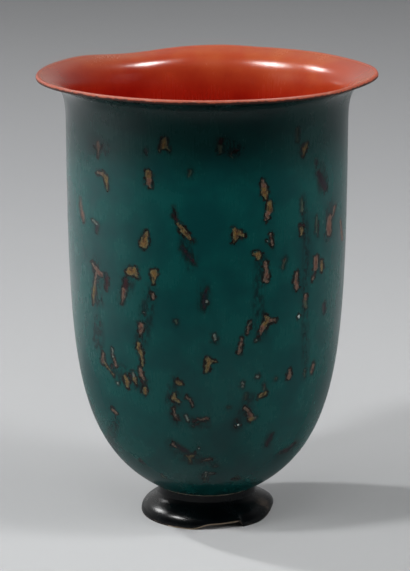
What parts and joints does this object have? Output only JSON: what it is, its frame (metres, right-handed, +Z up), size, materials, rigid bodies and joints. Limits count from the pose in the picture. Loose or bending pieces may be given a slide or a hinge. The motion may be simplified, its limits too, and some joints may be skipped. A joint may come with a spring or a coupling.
{
  "type": "lacquered metal vase",
  "caption": "Deep round-bottomed vase of lacquered sheet metal with a wide wavy flared lip, on a small flared foot.",
  "frame": {"origin": "on the axis of the body, at the height of the hem that the vase stands on", "axes": "+Z up along the body's axis; -Y towards the pictured side, +X to its right"},
  "size_m": [0.193, 0.193, 0.2599],
  "materials": {
    "sheet_brass": "raised and planished sheet, bare only at the worn hem",
    "braze": "filed braze fillet, dull",
    "gilded_lacquer": "gold leaf in brown lacquer, rubbed smooth",
    "green_lacquer": "deep green lacquer, rubbed to a satin gloss, ground showing through in flecks",
    "red_lacquer": "vermilion lacquer, satin gloss",
    "black_lacquer": "black lacquer, polished"
  },
  "bodies": {
    "root": {"body_shell": "sheet_brass", "foot_skirt": "sheet_brass", "braze_ring": "braze", "gilded_ground_coat": "gilded_lacquer", "green_top_coat": "green_lacquer", "red_inner_coat": "red_lacquer", "black_foot_coat": "black_lacquer", "black_underside_coat": "black_lacquer"}
  },
  "joints": []
}
